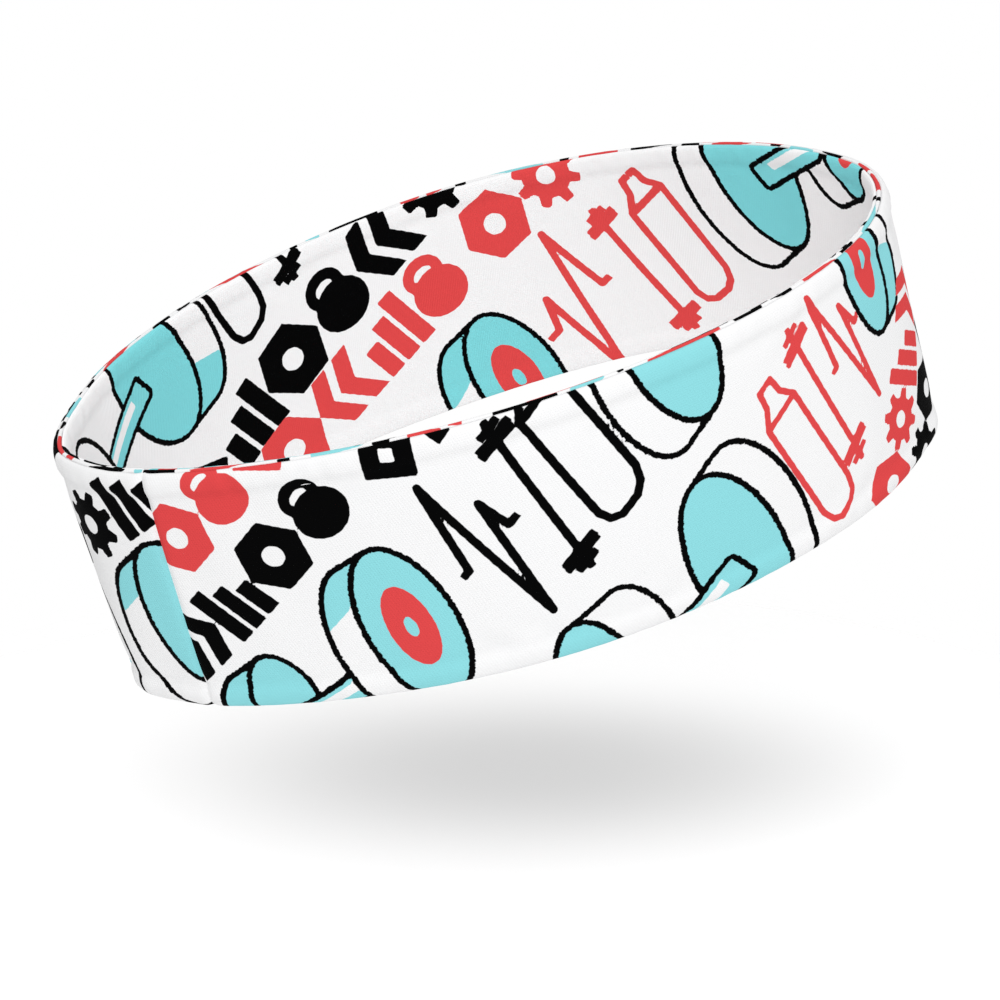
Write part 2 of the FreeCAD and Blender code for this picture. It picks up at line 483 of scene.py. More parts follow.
def steps(x, y):
    """Three heavy bars, each lower than the one before."""
    left = box(x + 0.34, y, 0.135, 0.5)
    middle = box(x, y + 0.1, 0.135, 0.4)
    return np.minimum(np.minimum(left, middle), box(x - 0.34, y + 0.2, 0.135, 0.3))


def kettlebell(x, y):
    """Round weight with a handle on top."""
    body = ellipse(x, y + 0.13, 0.44, 0.38)
    handle = np.abs(ellipse(x, y - 0.25, 0.25, 0.19)) - 0.085
    return np.minimum(body, handle)


def diamond(x, y):
    """Diamond with a small diamond hole."""
    corners = [(0.5, 0), (0, 0.54), (-0.5, 0), (0, -0.54)]
    hole = [(0.13, 0), (0, 0.15), (-0.13, 0), (0, -0.15)]
    return np.maximum(polygon(x, y, corners), -polygon(x, y, hole))


def cog(x, y):
    """Gear wheel with eight teeth and a round hole."""
    around = np.arctan2(y, x)
    rim = ellipse(x, y, 0.46, 0.46) - 0.075 * np.clip(3 * np.cos(8 * around), -1, 1)
    return np.maximum(rim, -ellipse(x, y, 0.15, 0.15))


MARKS = {"nut": (nut, 1.1), "chevrons": (chevrons, 1.06), "steps": (steps, 0.96),
         "kettlebell": (kettlebell, 0.9), "diamond": (diamond, 1.0), "cog": (cog, 1.08)}


def bold_row(cloth, colour, start, degrees, height, names):
    """A row of bold marks along a slanted line, from the row's lower start corner."""
    c = math.cos(math.radians(degrees))
    s = math.sin(math.radians(degrees))
    along = 0.0
    for name in names:
        mark, width = MARKS[name]
        along += width * height / 2
        middle = (start[0] + along * c - s * height / 2, start[1] + along * s + c * height / 2)
        along += width * height / 2 + ROW_GAP * height

        def shape(x, y):
            tx, ty = turned(x, y, degrees)
            return height * mark(tx / height, ty / height)

        cloth.lay(colour, shape, middle, height)


# Slender generic marks, drawn with lines: x from -0.5 to 0.5 across, y from -0.5 to 0.5 along

PULSE = [[(-0.5, 0), (-0.38, 0), (-0.2, 0.5), (0.05, -0.5), (0.23, 0.2), (0.34, 0), (0.5, 0)]]
BARBELL = [[(0, -0.5), (0, 0.5)]]
for half, place in ((0.5, 0.40), (0.5, 0.37), (0.3, 0.45)):
    BARBELL += [[(-half, side * place), (half, side * place)] for side in (1, -1)]
BOTTLE_SIDE = [(0.2, -0.5), (0.4, -0.46), (0.5, -0.38), (0.5, 0.3), (0.24, 0.4), (0.2, 0.5), (0, 0.5)]
BOTTLE = [[(-x, y) for x, y in reversed(BOTTLE_SIDE)] + BOTTLE_SIDE, [(-0.5, 0.3), (0.5, 0.3)]]


def flat_line(x, y, points, width):
    """Distance to a line of a width with flat ends."""
    best = np.full(np.shape(x), FAR)
    trimmed = list(points)
    for end, inner in ((0, 1), (-1, -2)):
        (ax, ay), (bx, by) = points[end], points[inner]
        length = math.hypot(bx - ax, by - ay)
        degrees = math.degrees(math.atan2(by - ay, bx - ax))
        tx, ty = turned(x - (ax + bx) / 2, y - (ay + by) / 2, degrees)
        best = np.minimum(best, box(tx, ty, length / 2, width / 2))
        share = min(width / length, 1.0)
        trimmed[end] = (ax + (bx - ax) * share, ay + (by - ay) * share)
    if len(points) > 2:
        best = np.minimum(best, stroke(x, y, trimmed, width))
    return best


def slender_mark(cloth, colour, middle, across, tall, lines, width=SLENDER_FINE):
    """A slender mark, drawn between the two directions across and tall, which give its size too."""
    placed = []
    for line in lines:
        placed.append([(x * across[0] + y * tall[0], x * across[1] + y * tall[1]) for x, y in line])

    def shape(x, y):
        best = flat_line(x, y, placed[0], width)
        for line in placed[1:]:
            best = np.minimum(best, flat_line(x, y, line, width))
        return best

    reach = (math.hypot(*across) + math.hypot(*tall)) / 2 + PRINT_ROOM
    cloth.lay(colour, shape, middle, reach)


# Weight plates and bars

RIM_STEPS = 14
RIM_SHADE_TURN = 28
HUB_SHARE = (0.5, 0.52)
SOCKET_SHARE = 0.13
BAR_CORNER = 1.5
GLEAM_START = 6.0
GLEAM_RISE = 0.12
GLEAM_HALF_WIDTH = 0.16


def lay_with_outline(cloth, colour, shape, middle, reach, width=OUTLINE):
    """A filled shape with a black line round it."""
    cloth.lay("black", lambda x, y: shape(x, y) - width / 2, middle, reach, drawn=1.0)
    cloth.lay(colour, lambda x, y: shape(x, y) + width / 2, middle, reach, drawn=1.0)


def plate(cloth, middle, semi, degrees, rim, hub=False, shade=None, side=1):
    """A weight plate: a white rim swept from its face by an offset, then the turquoise face.

    Beyond a share of its height, shade, the rim is turquoise too: above it, or below for side -1.
    """
    reach = max(semi) + math.hypot(*rim) + PRINT_ROOM

    def face(x, y):
        return ellipse(*turned(x, y, degrees), *semi)

    def body(x, y):
        best = face(x, y)
        for i in range(1, RIM_STEPS + 1):
            best = np.minimum(best, face(x - rim[0] * i / RIM_STEPS, y - rim[1] * i / RIM_STEPS))
        return best

    def rim_shade(x, y):
        turn = degrees - math.copysign(RIM_SHADE_TURN, rim[0])
        _, along = turned(x - rim[0], y - rim[1], turn)
        return np.maximum(body(x, y) + OUTLINE / 2, side * (semi[1] * shade - along))

    def hub_disc(x, y):
        return ellipse(*turned(x, y, degrees), semi[0] * HUB_SHARE[0], semi[1] * HUB_SHARE[1])

    def hub_socket(x, y):
        return ellipse(*turned(x, y, degrees), semi[0] * SOCKET_SHARE, semi[1] * SOCKET_SHARE)

    lay_with_outline(cloth, "white", body, middle, reach)
    if shade is not None:
        cloth.lay("turquoise", rim_shade, middle, reach)
    lay_with_outline(cloth, "turquoise", face, middle, reach)
    if hub:
        cloth.lay("red", hub_disc, middle, reach)
        cloth.lay("turquoise", hub_socket, middle, reach)


def bar(cloth, start, end, width):
    """The bar of a dumbbell, up to its free end, with a white gleam along its upper side."""
    middle = ((start[0] + end[0]) / 2, (start[1] + end[1]) / 2)
    length = math.hypot(end[0] - start[0], end[1] - start[1])
    degrees = math.degrees(math.atan2(end[1] - start[1], end[0] - start[0]))
    up = math.copysign(1, end[0] - start[0])

    def shape(x, y):
        straight = (length / 2 - BAR_CORNER, width / 2 - BAR_CORNER)
        return box(*turned(x, y, degrees), *straight) - BAR_CORNER

    def gleam(x, y):
        tx, ty = turned(x, y, degrees)
        ty = ty - up * width * GLEAM_RISE
        return box(tx + GLEAM_START, ty, length / 2, width * GLEAM_HALF_WIDTH)

    lay_with_outline(cloth, "turquoise", shape, middle, length)
    cloth.lay("white", gleam, middle, length)


class Shifted:
    """A cloth seen with its places moved round the loop."""

    def __init__(self, cloth, shift):
        self.cloth = cloth
        self.shift = shift

    def lay(self, colour, shape, middle, reach, drawn=0.0):
        self.cloth.lay(colour, shape, (middle[0] + self.shift, middle[1]), reach, drawn)


OUTER_REPEAT = 250.0
LINING_REPEAT = 232.0


def outer_pattern(cloth):
    """One repeat of the outer pattern, from about u -110 to 140."""
    bold_row(cloth, "red", (-101.8, 25), 41, 16.5, ["cog", "nut", "kettlebell", "diamond"])
    bold_row(cloth, "black", (-91.5, 7.5), 41, 16.5, ["chevrons", "steps", "nut", "kettlebell"])
    bold_row(cloth, "black", (-32, 52), 41, 16.5, ["diamond", "steps"])
    plate(cloth, (-71, -1), (8.5, 16.5), 12, (-8, -5), shade=0.2)
    bar(cloth, (-42, 10), (-70, -6), 8)
    plate(cloth, (-37, 18.5), (11, 22.5), 12, (-8, -3.5), hub=True, shade=0.5)
    slender_mark(cloth, "black", (-14.5, 35), (16, 13), (-18, 43), PULSE, SLENDER_BLACK)
    slender_mark(cloth, "black", (-1, 44), (9, 7), (-15, 44), BARBELL, SLENDER_BLACK)
    slender_mark(cloth, "black", (10, 55), (11, 8.5), (-17, 41), BOTTLE, SLENDER_BLACK)
    plate(cloth, (36.5, 69.5), (10.6, 22), 13, (-8, -6))
    plate(cloth, (1.5, -8), (9, 16.5), 10, (11, 6))
    plate(cloth, (40.5, 9), (12, 25), 12, (7.5, 5.5))
    bar(cloth, (18, -9), (41, 7), 9)
    slender_mark(cloth, "red", (64, 27), (9, 6), (-14, 42), BOTTLE)
    slender_mark(cloth, "red", (73, 37), (8, 7), (-13, 43), BARBELL)
    slender_mark(cloth, "red", (83, 46), (13, 10), (-13, 38), PULSE)
    plate(cloth, (95.5, 62), (8, 21), 6, (7, 2), hub=True, shade=-0.1, side=-1)
    bold_row(cloth, "red", (88.4, -8), 55.6, 14.5, ["nut", "cog", "steps", "chevrons"])
    bold_row(cloth, "black", (105.5, -9.5), 55.6, 14.5, ["cog", "nut", "diamond", "kettlebell"])


def print_outer(cloth):
    """The outer panel's pattern. Its last marks are cut by the back seam."""
    outer_pattern(cloth)
    outer_pattern(Shifted(cloth, OUTER_REPEAT))
    before_seam = Shifted(cloth, LOOP.length)
    slender_mark(before_seam, "red", (-153, 28), (15, 12), (-15, 42), PULSE)
    plate(before_seam, (-172, 69), (10, 20), 10, (8, 5), hub=True)
    bold_row(before_seam, "black", (-145, 50), 32, 16.5, ["kettlebell", "diamond"])
    plate(before_seam, (-133, 3), (11, 22), 12, (9, 6))
    bold_row(before_seam, "black", (-133, 29), 30, 17, ["chevrons", "cog", "steps"])
    plate(before_seam, (-90, 27), (11.5, 21.5), 14, (-8, -6), shade=0.55)


def lining_pattern(cloth):
    """One repeat of the lining's pattern, from about u 138 to 372."""
    plate(cloth, (148, 74), (8.5, 19), -12, (8, -4), hub=True)
    plate(cloth, (180.5, 58.5), (13, 25), -14, (9, -7))
    bar(cloth, (157, 68.5), (179.5, 56), 8)
    slender_mark(cloth, "red", (211.6, 38), (11, -8), (16, 41), BOTTLE, SLENDER_RED)
    slender_mark(cloth, "red", (224, 28), (9, -7), (19, 44), BARBELL, SLENDER_RED)
    slender_mark(cloth, "red", (245, 20), (22, -16), (18, 45), PULSE, SLENDER_RED)
    bold_row(cloth, "red", (229.5, 60), -30, 19, ["cog", "nut"])
    bold_row(cloth, "black", (262.2, 67.5), -33, 20,
             ["cog", "chevrons", "kettlebell", "nut", "steps", "diamond"])
    bold_row(cloth, "red", (271, 36), -31, 19.5, ["kettlebell", "steps", "chevrons", "nut", "cog"])
    plate(cloth, (267.5, 3.5), (12, 23.5), -18, (9, -5), hub=True, shade=0.4)
    slender_mark(cloth, "black", (331, 79), (9, -7), (17, 43), BARBELL, SLENDER_BLACK)
    slender_mark(cloth, "black", (347, 71), (11, -8), (17, 43), BOTTLE, SLENDER_BLACK)


def print_lining(cloth):
    """The lining's pattern, cut by its own back seam."""
    lining_pattern(cloth)
    lining_pattern(Shifted(cloth, -LINING_REPEAT))
    plate(cloth, (376.5, 55), (13, 25), -25, (-10, 4), shade=-0.35, side=-1)
    bar(cloth, (402, 40), (379.5, 54), 8.5)
    plate(cloth, (419, 31), (11, 23), -24, (-9, 6))
    slender_mark(cloth, "red", (446, 34), (16, -12), (17, 42), PULSE, SLENDER_RED)
    bold_row(cloth, "black", (424, 72), -36, 17, ["nut", "kettlebell", "chevrons"])


# Colour, length and gap of each dash
STRIP_DASHES = [("black", 9, 4), ("red", 14, 3), ("black", 4, 5), ("turquoise", 16, 2), ("black", 3, 4),
                ("red", 8, 2), ("red", 5, 7), ("black", 12, 3), ("turquoise", 7, 3), ("black", 2.5, 6),
                ("red", 18, 4), ("black", 6, 3)]
DASH_HALF_WIDTH = 1.15
DASH_DRIFT = 0.6
DASH_SLANT = 14


def print_strip(cloth):
    """The edge strip's pattern: the same print, cut across, so it shows as long and short dashes."""
    place = cloth.u[0]
    count = 0
    while place < cloth.u[-1]:
        colour, length, gap = STRIP_DASHES[count % len(STRIP_DASHES)]
        length = length * (1 + 0.4 * math.sin(1.9 * count))
        drift = DASH_DRIFT * math.sin(2.3 * count)
        slant = DASH_SLANT * math.sin(0.9 * count)

        def dash(x, y):
            return box(*turned(x, y, slant), length / 2, DASH_HALF_WIDTH)

        middle = (place + length / 2, cloth.v.mean() + drift)
        cloth.lay(colour, dash, middle, length / 2 + 2 * PRINT_ROOM)
        place += length + gap
        count += 1


# ------------------------------ materials

OUTER_WHITE = (0.745, 0.745, 0.75, 1)
# The lining is the same white knit as the outer panel; its white is set lighter as painted light inside
# the loop.
LINING_WHITE_WITH_PAINTED_LIGHT = (0.803, 0.803, 0.808, 1)
BLACK_INK = (0.001, 0.001, 0.0011)
OUTER_INKS = {"turquoise": (0.225, 0.575, 0.61), "red": (0.605, 0.055, 0.057), "black": BLACK_INK}
# The lining's inks are the outer inks retoned as painted light and shade inside the loop.
LINING_INKS_WITH_PAINTED_LIGHT = {"turquoise": (0.19, 0.6, 0.635), "red": (0.655, 0.06, 0.061), "black": BLACK_INK}
# Half width of an ink's soft edge, and how far the pen strays
INK_EDGE = 0.1
INK_SHAKE = 1.0
# The knit's repeats in millimetres, and the lean and share of its wales
WALE = 0.72
COURSE = 0.58
WALE_LEAN = 0.4
WALE_SHARE = 0.6
KNIT_TONE = 0.014
GRAIN_TONE = (0.97, 1.025)
KNIT_ROUGHNESS = (0.7, 0.88)


def add(tree, kind, **values):
    """A shader node with its values set by socket name or property name."""
    node = tree.nodes.new(kind)
    for key, value in values.items():
        if key in node.inputs:
            node.inputs[key].default_value = value
        else:
            setattr(node, key, value)
    return node


def math_node(tree, operation, first, second=0.0):
    node = add(tree, "ShaderNodeMath", operation=operation)
    for socket, value in zip(node.inputs, (first, second)):
        if isinstance(value, (int, float)):
            socket.default_value = value
        else:
            tree.links.new(value, socket)
    return node.outputs[0]


def map_range(tree, value, before, after, curve="LINEAR"):
    """A value carried from one range to another, and held at its ends."""
    node = add(tree, "ShaderNodeMapRange", interpolation_type=curve)
    tree.links.new(value, node.inputs["Value"])
    for key, number in zip(("From Min", "From Max", "To Min", "To Max"), before + after):
        node.inputs[key].default_value = number
    return node.outputs["Result"]


def empty_material(name):
    """A material, its node tree and its output's surface socket."""
    material = bpy.data.materials.new(name)
    material.use_nodes = True
    tree = material.node_tree
    tree.nodes.clear()
    output = add(tree, "ShaderNodeOutputMaterial")
    return material, tree, output.inputs["Surface"]


def knit_pattern(tree, cloth):
    """Height of the knit, from -1 to 1: leaning wales crossed by courses."""
    split = add(tree, "ShaderNodeSeparateXYZ")
    tree.links.new(cloth, split.inputs[0])
    lean = math_node(tree, "MULTIPLY", split.outputs[1], WALE_LEAN)
    slant = math_node(tree, "ADD", split.outputs[0], lean)
    wale = math_node(tree, "SINE", math_node(tree, "MULTIPLY", slant, 2 * math.pi / WALE))
    course = math_node(tree, "SINE", math_node(tree, "MULTIPLY", split.outputs[1], 2 * math.pi / COURSE))
    wale = math_node(tree, "MULTIPLY", wale, WALE_SHARE)
    course = math_node(tree, "MULTIPLY", course, 1 - WALE_SHARE)
    return math_node(tree, "ADD", wale, course)


def pen_shake(tree, cloth):
    """How far a line strays where a shaky pen drew it, in millimetres."""
    shake = add(tree, "ShaderNodeTexNoise", Scale=0.75, Detail=2.0, Roughness=0.7)
    tree.links.new(cloth, shake.inputs["Vector"])
    drawn = add(tree, "ShaderNodeAttribute", attribute_name="drawn")
    astray = math_node(tree, "SUBTRACT", shake.outputs["Fac"], 0.5)
    astray = math_node(tree, "MULTIPLY", astray, INK_SHAKE)
    return math_node(tree, "MULTIPLY", astray, drawn.outputs["Fac"])


def printed_colour(tree, cloth, colour, white, inks):
    """White, with each ink's difference from it added. Black strays the other way than colours do."""
    astray = pen_shake(tree, cloth)
    other_way = math_node(tree, "MULTIPLY", astray, -1)
    for ink in INKS:
        field = add(tree, "ShaderNodeAttribute", attribute_name="ink_" + ink)
        moved = math_node(tree, "ADD", field.outputs["Fac"], astray if ink == "black" else other_way)
        mask = map_range(tree, moved, (-INK_EDGE, INK_EDGE), (1.0, 0.0), "SMOOTHSTEP")
        change = add(tree, "ShaderNodeVectorMath", operation="MULTIPLY_ADD")
        change.inputs[0].default_value = [part - base for part, base in zip(inks[ink], white)]
        tree.links.new(mask, change.inputs[1])
        tree.links.new(colour, change.inputs[2])
        colour = change.outputs[0]
    return colour


def knit_bumps(tree, knit, grain):
    """Normal of the cloth: the knit's relief under fine loose fibre."""
    relief = add(tree, "ShaderNodeBump", Strength=0.7, Distance=0.00004)
    tree.links.new(knit, relief.inputs["Height"])
    fibre = add(tree, "ShaderNodeBump", Strength=0.25, Distance=0.00006)
    tree.links.new(grain, fibre.inputs["Height"])
    tree.links.new(relief.outputs[0], fibre.inputs["Normal"])
    return fibre.outputs[0]


def knit_material(name, white, inks=None):
    """Fine warp knit, sublimation printed where a cloth carries inks, a colour for each name."""
    material, tree, surface = empty_material(name)
    link = tree.links.new
    shader = add(tree, "ShaderNodeBsdfPrincipled")
    link(shader.outputs[0], surface)
    shader.inputs["Specular IOR Level"].default_value = 0.02

    cloth = add(tree, "ShaderNodeUVMap", uv_map="cloth_mm").outputs[0]
    knit = knit_pattern(tree, cloth)
    noise = add(tree, "ShaderNodeTexNoise", Scale=2.3, Detail=4.0, Roughness=0.6)
    link(cloth, noise.inputs["Vector"])
    grain = noise.outputs["Fac"]

    colour = add(tree, "ShaderNodeRGB").outputs[0]
    colour.default_value = white
    if inks:
        colour = printed_colour(tree, cloth, colour, white, inks)
    tone = map_range(tree, grain, (0.0, 1.0), GRAIN_TONE)
    weave = math_node(tree, "ADD", math_node(tree, "MULTIPLY", knit, KNIT_TONE), tone)
    shade = add(tree, "ShaderNodeMix", data_type="RGBA", blend_type="MULTIPLY")
    shade.inputs["Factor"].default_value = 1.0
    link(colour, shade.inputs["A"])
    link(weave, shade.inputs["B"])
    link(shade.outputs["Result"], shader.inputs["Base Color"])
    link(map_range(tree, grain, (0.0, 1.0), KNIT_ROUGHNESS), shader.inputs["Roughness"])
    link(knit_bumps(tree, knit, grain), shader.inputs["Normal"])
    return material


def thread_material():
    """White polyester sewing thread with a fine twist."""
    material = bpy.data.materials.new("sewing_thread")
    material.use_nodes = True
    tree = material.node_tree
    shader = tree.nodes["Principled BSDF"]
    shader.inputs["Roughness"].default_value = 0.5
    shader.inputs["Sheen Weight"].default_value = 0.2
    place = add(tree, "ShaderNodeTexCoord")
    twist = add(tree, "ShaderNodeTexWave", Scale=900.0, Distortion=1.5)
    tree.links.new(place.outputs["Object"], twist.inputs["Vector"])
    ramp = add(tree, "ShaderNodeMix", data_type="RGBA")
    ramp.inputs["A"].default_value = (0.74, 0.74, 0.73, 1)
    ramp.inputs["B"].default_value = (0.88, 0.88, 0.87, 1)
    tree.links.new(twist.outputs["Fac"], ramp.inputs["Factor"])
    tree.links.new(ramp.outputs["Result"], shader.inputs["Base Color"])
    bump = add(tree, "ShaderNodeBump", Strength=0.3, Distance=0.00005)
    tree.links.new(twist.outputs["Fac"], bump.inputs["Height"])
    tree.links.new(bump.outputs[0], shader.inputs["Normal"])
    return material


# ------------------------------ pieces

# Each edge: its name, its height, and which way is into the band
EDGES = (("top", BAND_HEIGHT, -1.0), ("bottom", 0.0, 1.0))
# Each layer: its name, and the swell of its edge margins and of its seam margins
LAYERS = (("outer", 0.15, -0.1), ("lining", -1.25, -1.15))
MARGIN_TURN = 1.3
MARGIN_END = 6.3
MARGIN_HALF_GAP = 0.3
SEAM_MARGIN_WIDTH = 6.0
SEAM_MARGIN_GAP = 0.3
SEAM_MARGIN_DIP = 0.35
SEAM_END = 7.0


def declare(piece, material, node):
    """Give a cloth its material and body, and hide its CAD node."""
    piece.data.materials.append(material)
    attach(piece, "root")
    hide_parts(node)


def make_panels():
    """Outer panel and lining, each one printed cloth."""
    outer = knit_material("printed_knit", OUTER_WHITE, OUTER_INKS)
    # The lining's lighter white and retoned inks are painted light inside the loop.
    lining = knit_material("printed_lining", LINING_WHITE_WITH_PAINTED_LIGHT, LINING_INKS_WITH_PAINTED_LIGHT)
    for name, section, outwards, pattern, slot, material in (
            ("outer_panel", OUTER_SECTION, 1.0, print_outer, "printed_knit", outer),
            ("lining_panel", LINING_SECTION, -1.0, print_lining, "printed_lining", lining)):
        piece, u, run = panel(name + "_cloth", section, outwards)
        cloth = Print(u, run)
        pattern(cloth)
        cloth.store(piece)
        declare(piece, material, name)


def make_strips(printed):
    """The two edge strips."""
    for edge_name, edge, inwards in EDGES:
        name = edge_name + "_edge_strip"
        piece, u, run = ring_cloth(name + "_cloth", strip_section(edge, inwards), STRIP_STEP)
        cloth = Print(u, run)
        print_strip(cloth)
        cloth.store(piece)
        declare(piece, printed, name)


def make_edge_margins(plain):
    """Margins turned in at each edge, two plies joined at the stitch line."""
    for edge_name, edge, inwards in EDGES:
        near = edge + inwards * MARGIN_TURN
        bend = near + inwards
        far = edge + inwards * MARGIN_END
        for layer, middle, _ in LAYERS:
            section = [(middle + MARGIN_HALF_GAP, far), (middle + 0.32, bend), (middle, near),
                       (middle - 0.32, bend), (middle - MARGIN_HALF_GAP, far)]
            name = f"{edge_name}_{layer}_margin"
            piece, _, run = ring_cloth(name + "_cloth", section, MARGIN_STEP)
            declare(piece, plain, name)


def make_back_margins(plain):
    """The opened margins of each back seam, one flap each side."""
    flap = np.linspace(SEAM_MARGIN_GAP, SEAM_MARGIN_WIDTH, 12)
    columns = np.concatenate([SEAM_U - flap[::-1], SEAM_U + flap])
    heights = np.linspace(SEAM_END, BAND_HEIGHT - SEAM_END, 60)
    u_grid, v_grid = np.meshgrid(columns, heights, indexing="ij")
    for layer, _, swell in LAYERS:
        towards_gap = -1 if layer == "outer" else 1
        dip = towards_gap * SEAM_MARGIN_DIP * smooth_bump(u_grid - SEAM_U, 0.8)
        points = wall_points(LOOP.angle_at(columns)[:, None], v_grid, swell + dip)
        name = f"{layer}_back_seam_margins"
        piece = cloth_mesh(name + "_cloth", points, columns, heights, closed=False)
        declare(piece, plain, name)


THREAD_RADIUS = 0.15
STITCH_LENGTH = 2.2
STITCH_PITCH = 3.0
EDGE_THREAD_DEPTH = 1.0
# Places along a stitch and its thickness there, as shares
STITCH_RINGS = ((0.0, 0.35), (0.12, 1.0), (0.5, 1.15), (0.88, 1.0), (1.0, 0.35))
STITCH_SIDES = 6


def stitch_row(name, starts, ends):
    """A row of stitches: short tubes of thread with rounded ends, thickest at the middle."""
    sides = STITCH_SIDES
    around = [2 * math.pi * k / sides for k in range(sides)]
    vertices = []
    faces = []
    for start, end in zip(starts, ends):
        way = end - start
        way = way / np.linalg.norm(way)
        middle = (start + end) / 2
        across = np.cross(way, (0, 0, 1)) if abs(way[2]) < 0.9 else np.cross(way, (0, 1, 0))
        across = across / np.linalg.norm(across)
        lift = np.cross(way, across)
        base = len(vertices)
        for share, size in STITCH_RINGS:
            centre = middle + way * STITCH_LENGTH * (share - 0.5)
            for a in around:
                offset = across * math.cos(a) + lift * math.sin(a)
                vertices.append((centre + offset * THREAD_RADIUS * size) * MM)
        for r in range(len(STITCH_RINGS) - 1):
            for k in range(sides):
                here = base + r * sides + k
                there = base + r * sides + (k + 1) % sides
                faces.append((here, there, there + sides, here + sides))
        last = base + (len(STITCH_RINGS) - 1) * sides
        faces.append(tuple(base + k for k in reversed(range(sides))))
        faces.append(tuple(last + k for k in range(sides)))
    mesh = bpy.data.meshes.new(name)
    mesh.from_pydata([tuple(v) for v in vertices], [], faces)
    piece = bpy.data.objects.new(name, mesh)
    bpy.context.scene.collection.objects.link(piece)
    return piece


def make_threads():
    """The rows of stitches that hold the edge strips and close the back seams."""
    thread = thread_material()
    rows = {}
    count = int(LOOP.length / STITCH_PITCH)
    u = SEAM_U + np.linspace(0, LOOP.length, count, endpoint=False)
    for edge_name, edge, inwards in EDGES:
        for layer, swell, _ in LAYERS:
            points = wall_points(LOOP.angle_at(u), edge + inwards * EDGE_THREAD_DEPTH, swell)
            rows[f"{edge_name}_{layer}_thread"] = (points, np.roll(points, -1, axis=0))
    heights = np.arange(SEAM_END, BAND_HEIGHT - SEAM_END, STITCH_PITCH)
    for layer, _, swell in LAYERS:
        points = wall_points(BACK_SEAM_ANGLE, heights, swell)
        rows[f"{layer}_back_seam_thread"] = (points[:-1], points[1:])
    for node, (starts, ends) in rows.items():
        piece = stitch_row(node + "_stitches", starts, ends)
        piece.data.materials.append(thread)
        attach(piece, "root")
        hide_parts(node)


# ------------------------------ stage, light and camera

# The camera looks down on the band and is rolled, so the band leans up to the right
CAMERA_DISTANCE = 472.0
CAMERA_ELEVATION = math.radians(31.5)
CAMERA_AZIMUTH = math.radians(3.4)
CAMERA_ROLL = math.radians(16.45)
CAMERA_SLIDE = (5.9, 20.6)
CAMERA_LENS = 67.0
CAMERA_SENSOR = 36.0
AIM = Vector((0.0, LOOP_CENTRE_Y, BAND_HEIGHT / 2))

FLOOR_TILT_FROM_VIEW = math.radians(20)
FLOOR_DROP = 180.0
FLOOR_RADIUS = 345.0
FLOOR_SOLID_SHARE = 0.78
FLOOR_RINGS = 24
FLOOR_SPOKES = 96
FLOOR_TONE = 0.96
# The soft shade painted on the floor: half sizes, place of its middle, and tone there
SHADE_REACH = (191.0, 95.0)
SHADE_SHIFT = (11.4, 149.2)
SHADE_TONE = 0.647

# The surroundings brighten from DIM_SIDE to 1 as a direction turns from the lower left
DIM_SIDE = 0.48
DIM_RANGE = (-1.0, -0.35)
LAMP_SIZE = 0.45
LAMP_ENERGY = 2.6
LAMP_AWAY = 0.8


def camera_axes():
    """Right, up and back axes of the rolled camera, and the unrolled right, forward and up."""
    e = CAMERA_ELEVATION
    right = Vector((1, 0, 0))
    forward = Vector((0, math.cos(e), -math.sin(e)))
    up = Vector((0, math.sin(e), math.cos(e)))
    turn = Matrix.Rotation(-CAMERA_AZIMUTH, 3, "Z")
    right = turn @ right
    forward = turn @ forward
    up = turn @ up
    c = math.cos(CAMERA_ROLL)
    s = math.sin(CAMERA_ROLL)
    return c * right - s * up, s * right + c * up, -forward, right, forward, up


def make_camera():
    """The camera, at the picture's viewing angle."""
    side, top, back, right, forward, up = camera_axes()
    place = AIM - CAMERA_SLIDE[0] * right - CAMERA_SLIDE[1] * up - CAMERA_DISTANCE * forward
    data = bpy.data.cameras.new("camera")
    data.lens = CAMERA_LENS
    data.sensor_width = CAMERA_SENSOR
    data.clip_start = 0.01
    camera = bpy.data.objects.new("camera", data)
    bpy.context.scene.collection.objects.link(camera)
    matrix = Matrix((side, top, back)).transposed().to_4x4()
    matrix.translation = place * MM
    camera.matrix_world = matrix
    bpy.context.scene.camera = camera


def disc_mesh(name, radius):
    """A flat round disc of rings of faces."""
    vertices = [(0, 0, 0)]
    for ring in range(1, FLOOR_RINGS + 1):
        for spoke in range(FLOOR_SPOKES):
            a = 2 * math.pi * spoke / FLOOR_SPOKES
            away = radius * ring / FLOOR_RINGS
            vertices.append((away * math.cos(a), away * math.sin(a), 0))
    faces = [(0, 1 + k, 1 + (k + 1) % FLOOR_SPOKES) for k in range(FLOOR_SPOKES)]
    for ring in range(FLOOR_RINGS - 1):
        for spoke in range(FLOOR_SPOKES):
            a = 1 + ring * FLOOR_SPOKES + spoke
            b = 1 + ring * FLOOR_SPOKES + (spoke + 1) % FLOOR_SPOKES
            faces.append((a, a + FLOOR_SPOKES, b + FLOOR_SPOKES, b))
    mesh = bpy.data.meshes.new(name)
    mesh.from_pydata(vertices, [], faces)
    return mesh


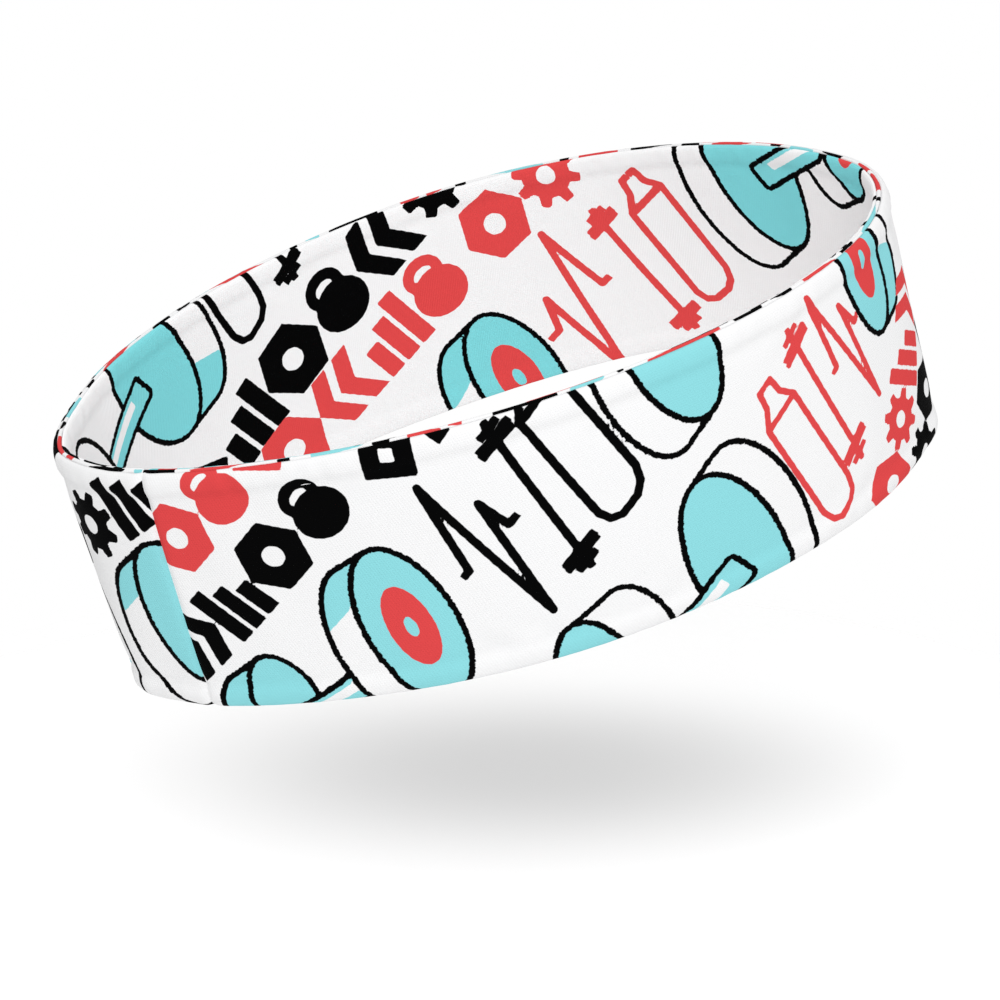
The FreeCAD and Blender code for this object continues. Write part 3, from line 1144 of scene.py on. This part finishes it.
def floor_material():
    """Matt white with a painted soft oval shade, and clear towards the disc's rim."""
    material, tree, surface = empty_material("floor_white")
    link = tree.links.new
    place = add(tree, "ShaderNodeTexCoord").outputs["Object"]
    stretch = add(tree, "ShaderNodeMapping")
    moved = [-shift / reach for shift, reach in zip(SHADE_SHIFT, SHADE_REACH)]
    sized = [1 / (reach * MM) for reach in SHADE_REACH]
    stretch.inputs["Location"].default_value = moved + [0]
    stretch.inputs["Scale"].default_value = sized + [1]
    link(place, stretch.inputs["Vector"])
    from_shade = add(tree, "ShaderNodeVectorMath", operation="LENGTH")
    link(stretch.outputs[0], from_shade.inputs[0])
    fade = map_range(tree, from_shade.outputs["Value"], (0.0, 1.0), (0.0, 1.0), "SMOOTHERSTEP")
    tone = add(tree, "ShaderNodeMix", data_type="RGBA")
    tone.inputs["A"].default_value = (SHADE_TONE, SHADE_TONE, SHADE_TONE, 1)
    tone.inputs["B"].default_value = (FLOOR_TONE, FLOOR_TONE, FLOOR_TONE, 1)
    link(fade, tone.inputs["Factor"])
    diffuse = add(tree, "ShaderNodeBsdfDiffuse")
    link(tone.outputs["Result"], diffuse.inputs["Color"])

    from_middle = add(tree, "ShaderNodeVectorMath", operation="LENGTH")
    link(place, from_middle.inputs[0])
    solid = FLOOR_RADIUS * FLOOR_SOLID_SHARE * MM
    rim = map_range(tree, from_middle.outputs["Value"], (solid, FLOOR_RADIUS * MM), (0.0, 1.0),
                    "SMOOTHERSTEP")
    soft_rim = add(tree, "ShaderNodeMixShader")
    link(rim, soft_rim.inputs[0])
    link(diffuse.outputs[0], soft_rim.inputs[1])
    link(add(tree, "ShaderNodeBsdfTransparent").outputs[0], soft_rim.inputs[2])
    link(soft_rim.outputs[0], surface)
    return material


def make_floor():
    """A pale disc, well below the band and level in the picture. Returns its upward normal."""
    side, top, back, *_ = camera_axes()
    normal = math.cos(FLOOR_TILT_FROM_VIEW) * top + math.sin(FLOOR_TILT_FROM_VIEW) * back
    floor = bpy.data.objects.new("floor", disc_mesh("floor", FLOOR_RADIUS * MM))
    bpy.context.scene.collection.objects.link(floor)
    turn = Matrix((side, normal.cross(side), normal)).transposed().to_4x4()
    turn.translation = (AIM - FLOOR_DROP * normal) * MM
    floor.matrix_world = turn
    floor.data.materials.append(floor_material())
    return normal


def make_lights(floor_normal):
    """White surroundings, dimmer at the lower left, and one large soft lamp beside the camera."""
    side, top, back, *_ = camera_axes()
    world = bpy.data.worlds.new("white_surroundings")
    world.use_nodes = True
    tree = world.node_tree
    place = add(tree, "ShaderNodeTexCoord")
    towards_light = add(tree, "ShaderNodeVectorMath", operation="DOT_PRODUCT")
    tree.links.new(place.outputs["Generated"], towards_light.inputs[0])
    towards_light.inputs[1].default_value = (side * 0.8 + top * 0.6).normalized()
    strength = map_range(tree, towards_light.outputs["Value"], DIM_RANGE, (DIM_SIDE, 1.0))
    tree.links.new(strength, tree.nodes["Background"].inputs["Strength"])
    tree.nodes["Background"].inputs["Color"].default_value = (1, 1, 1, 1)
    bpy.context.scene.world = world

    direction = (floor_normal * 0.25 + back - side * 0.05).normalized()
    data = bpy.data.lights.new("soft_lamp", "AREA")
    data.shape = "DISK"
    data.size = LAMP_SIZE
    data.energy = LAMP_ENERGY
    lamp = bpy.data.objects.new("soft_lamp", data)
    bpy.context.scene.collection.objects.link(lamp)
    turn = direction.to_track_quat("Z", "Y").to_matrix().to_4x4()
    turn.translation = AIM * MM + direction * LAMP_AWAY
    lamp.matrix_world = turn


def main():
    """Make every piece, then the stage."""
    plain = knit_material("plain_knit", OUTER_WHITE)
    make_panels()
    make_strips(knit_material("edge_knit", OUTER_WHITE, OUTER_INKS))
    make_edge_margins(plain)
    make_back_margins(plain)
    make_threads()
    make_camera()
    normal = make_floor()
    make_lights(normal)
    bpy.context.scene.view_settings.view_transform = "Standard"


main()
